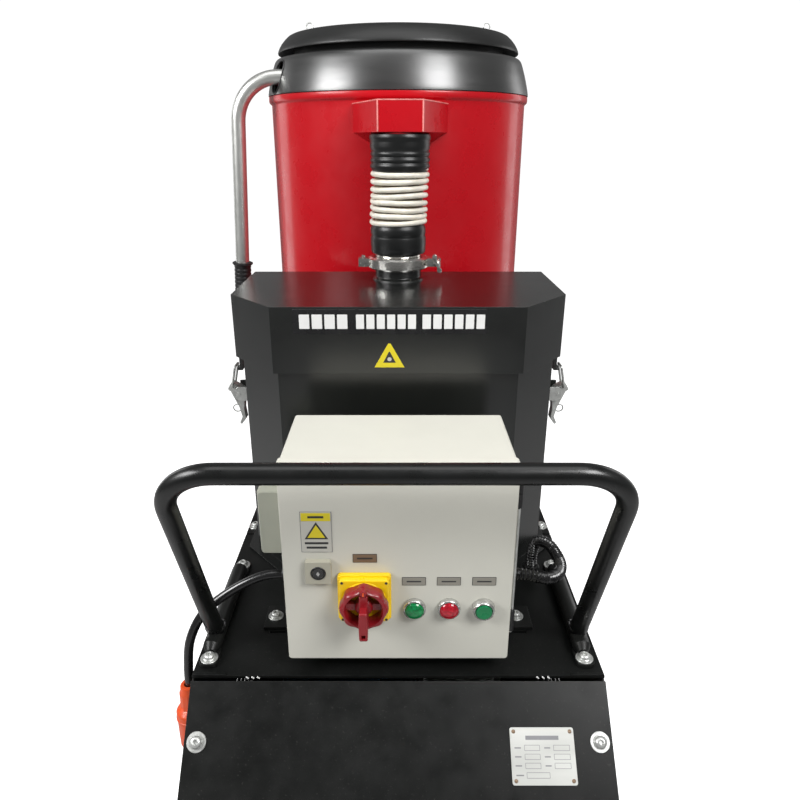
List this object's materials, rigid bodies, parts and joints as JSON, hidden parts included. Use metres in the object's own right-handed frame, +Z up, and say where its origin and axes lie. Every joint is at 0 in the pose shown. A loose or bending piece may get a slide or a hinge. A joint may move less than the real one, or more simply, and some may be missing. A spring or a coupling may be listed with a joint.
{
  "type": "floor dust extractor cart",
  "caption": "Cart-mounted three-phase dust extractor for floor sanding and grinding: filter drum with shaker lever and bin, fine filter box, hose, blower housing and control box.",
  "frame": {"origin": "on the floor under the middle of the machine's outline, seen from above", "axes": "+Z up, -Y towards the operator at the push handle, +X to the operator's right"},
  "size_m": [0.728, 1.2236, 1.5175],
  "materials": {
    "black_paint": "satin",
    "gloss_black": "gloss",
    "black_satin": "satin",
    "red_paint": "gloss",
    "box_paint": "satin",
    "motor_paint": "satin",
    "grey_green_plastic": "matte",
    "grey_plastic": "matte",
    "yellow_plastic": "satin",
    "red_plastic": "satin",
    "green_plastic": "satin",
    "orange_plastic": "satin",
    "green_lens": "gloss",
    "red_lens": "gloss",
    "rubber": "matte",
    "tyre": "matte",
    "filter_paper": "matte",
    "aluminium": "brushed",
    "galvanised": "satin",
    "steel": "brushed",
    "zinc": "satin",
    "chrome": "polished"
  },
  "bodies": {
    "chassis": {"base_frame": "black_paint", "rear_axle": "zinc", "housing_shell": "black_paint", "deck_plate": "black_paint", "sloped_cover": "black_paint", "nameplate": "aluminium", "blower_casing": "aluminium", "blower_motor": "motor_paint", "suction_duct": "galvanised", "push_handle": "gloss_black", "control_box": "box_paint", "door_hinge_pin": "zinc", "terminal_box": "grey_green_plastic", "contactor": "grey_plastic", "hepa_body": "black_paint", "hepa_gasket": "rubber", "hepa_filter": "filter_paper", "drum_shell": "red_paint", "outlet_hood": "red_paint", "head_ring": "black_satin", "power_cable": "rubber", "power_plug": "orange_plastic", "conduit": "rubber"},
    "left_wheel": {"rear_rim_left": "grey_plastic", "rear_tyre_left": "tyre"},
    "right_wheel": {"rear_rim_right": "grey_plastic", "rear_tyre_right": "tyre"},
    "left_castor": {"castor_fork_left": "zinc"},
    "left_castor_wheel": {"castor_wheel_left": "tyre"},
    "right_castor": {"castor_fork_right": "zinc"},
    "right_castor_wheel": {"castor_wheel_right": "tyre"},
    "rotor": {"rotor_shaft": "zinc", "blower_impeller": "aluminium"},
    "door": {"control_door": "box_paint", "door_lock_case": "box_paint", "switch_plate": "yellow_plastic", "lamp_green": "green_lens", "lamp_red": "red_lens", "button_bezel": "chrome"},
    "lock": {"door_lock_barrel": "chrome"},
    "switch": {"switch_knob": "red_plastic"},
    "button": {"push_button": "green_plastic"},
    "lid": {"hepa_lid": "black_paint", "hose": "rubber", "hose_ferrule": "steel", "clamp_rear_half": "steel", "clamp_front_half": "steel"},
    "swing_bolt": {"clamp_bolt": "steel"},
    "wing_nut": {"clamp_wing_nut": "steel"},
    "left_latch": {"latch_lever_left": "zinc"},
    "left_bail": {"latch_bail_left": "zinc"},
    "right_latch": {"latch_lever_right": "zinc"},
    "right_bail": {"latch_bail_right": "zinc"},
    "drum_top": {"drum_lid": "black_satin"},
    "cartridge": {"filter_cartridge": "filter_paper"},
    "shaker": {"shaker_lever": "galvanised", "shaker_grip": "rubber"},
    "cradle": {"bin_cradle": "black_paint"},
    "bin": {"dust_bin": "black_satin"},
    "lift_lever": {"bin_lift_lever": "zinc"}
  },
  "joints": [
    {"name": "left_wheel_roll", "type": "hinge", "parent": "chassis", "child": "left_wheel", "pos_m": [-0.33, -0.43625, 0.125], "axis": [1, 0, 0], "continuous": true},
    {"name": "right_wheel_roll", "type": "hinge", "parent": "chassis", "child": "right_wheel", "pos_m": [0.33, -0.43625, 0.125], "axis": [1, 0, 0], "continuous": true},
    {"name": "left_castor_swivel", "type": "hinge", "parent": "chassis", "child": "left_castor", "pos_m": [-0.2675, 0.54375, 0.14], "axis": [0, 0, 1], "continuous": true},
    {"name": "left_castor_roll", "type": "hinge", "parent": "left_castor", "child": "left_castor_wheel", "pos_m": [-0.2675, 0.50875, 0.0625], "axis": [1, 0, 0], "continuous": true},
    {"name": "right_castor_swivel", "type": "hinge", "parent": "chassis", "child": "right_castor", "pos_m": [0.2675, 0.54375, 0.14], "axis": [0, 0, 1], "continuous": true},
    {"name": "right_castor_roll", "type": "hinge", "parent": "right_castor", "child": "right_castor_wheel", "pos_m": [0.2675, 0.50875, 0.0625], "axis": [1, 0, 0], "continuous": true},
    {"name": "rotor_spin", "type": "hinge", "parent": "chassis", "child": "rotor", "pos_m": [0.09, -0.28625, 0.4], "axis": [1, 0, 0], "continuous": true},
    {"name": "door_swing", "type": "hinge", "parent": "chassis", "child": "door", "pos_m": [0.1546, -0.45275, 0.814], "axis": [0, 0, 1], "range_deg": [0, 95]},
    {"name": "lock_turn", "type": "hinge", "parent": "door", "child": "lock", "pos_m": [-0.103, -0.46625, 0.8095], "axis": [0, 1, 0], "range_deg": [0, 90]},
    {"name": "switch_turn", "type": "hinge", "parent": "door", "child": "switch", "pos_m": [-0.044, -0.47625, 0.771], "axis": [0, 1, 0], "range_deg": [0, 90]},
    {"name": "button_press", "type": "slide", "parent": "door", "child": "button", "axis": [0, 1, 0], "range_m": [0, 0.004]},
    {"name": "lid_lift", "type": "slide", "parent": "chassis", "child": "lid", "axis": [0, 0, 1], "range_m": [0, 0.05], "deforming": ["hose"]},
    {"name": "clamp_bolt_swing", "type": "hinge", "parent": "lid", "child": "swing_bolt", "pos_m": [0.066, -0.02675, 1.1336], "axis": [0, 0, 1], "range_deg": [0, 75]},
    {"name": "wing_nut_spin", "type": "hinge", "parent": "swing_bolt", "child": "wing_nut", "pos_m": [0.066, -0.04925, 1.1336], "axis": [0, 1, 0], "continuous": true},
    {"name": "left_latch_open", "type": "hinge", "parent": "chassis", "child": "left_latch", "pos_m": [-0.27, -0.11625, 0.928], "axis": [0, 1, 0], "range_deg": [0, 90]},
    {"name": "left_bail_swing", "type": "hinge", "parent": "left_latch", "child": "left_bail", "pos_m": [-0.282, -0.11625, 0.937], "axis": [0, 1, 0], "range_deg": [-172, 0]},
    {"name": "right_latch_open", "type": "hinge", "parent": "chassis", "child": "right_latch", "pos_m": [0.27, -0.11625, 0.928], "axis": [0, -1, 0], "range_deg": [0, 90]},
    {"name": "right_bail_swing", "type": "hinge", "parent": "right_latch", "child": "right_bail", "pos_m": [0.282, -0.11625, 0.937], "axis": [0, -1, 0], "range_deg": [-172, 0]},
    {"name": "drum_lid_lift", "type": "slide", "parent": "chassis", "child": "drum_top", "axis": [0, 0, 1], "range_m": [0, 0.12]},
    {"name": "filter_shake", "type": "slide", "parent": "chassis", "child": "cartridge", "axis": [0, 0, 1], "range_m": [-0.0125, 0.0125]},
    {"name": "shaker_swing", "type": "hinge", "parent": "chassis", "child": "shaker", "pos_m": [-0.12, 0.18375, 1.439], "axis": [0, 1, 0], "range_deg": [-6, 6]},
    {"name": "cradle_lift", "type": "slide", "parent": "chassis", "child": "cradle", "axis": [0, 0, 1], "range_m": [-0.025, 0]},
    {"name": "lift_lever_turn", "type": "hinge", "parent": "chassis", "child": "lift_lever", "pos_m": [0, 0.30175, 0.178], "axis": [1, 0, 0], "range_deg": [0, 90.1]},
    {"name": "bin_pull", "type": "slide", "parent": "cradle", "child": "bin", "axis": [0, 1, 0], "range_m": [0, 0.55]}
  ],
  "couplings": [
    {"joint": "left_bail_swing", "follows": "left_latch_open", "ratio": -1.9},
    {"joint": "right_bail_swing", "follows": "right_latch_open", "ratio": -1.9},
    {"joint": "shaker_swing", "follows": "filter_shake", "rad_per_m": -8.3333},
    {"joint": "lift_lever_turn", "follows": "cradle_lift", "rad_per_m": -62.83}
  ]
}
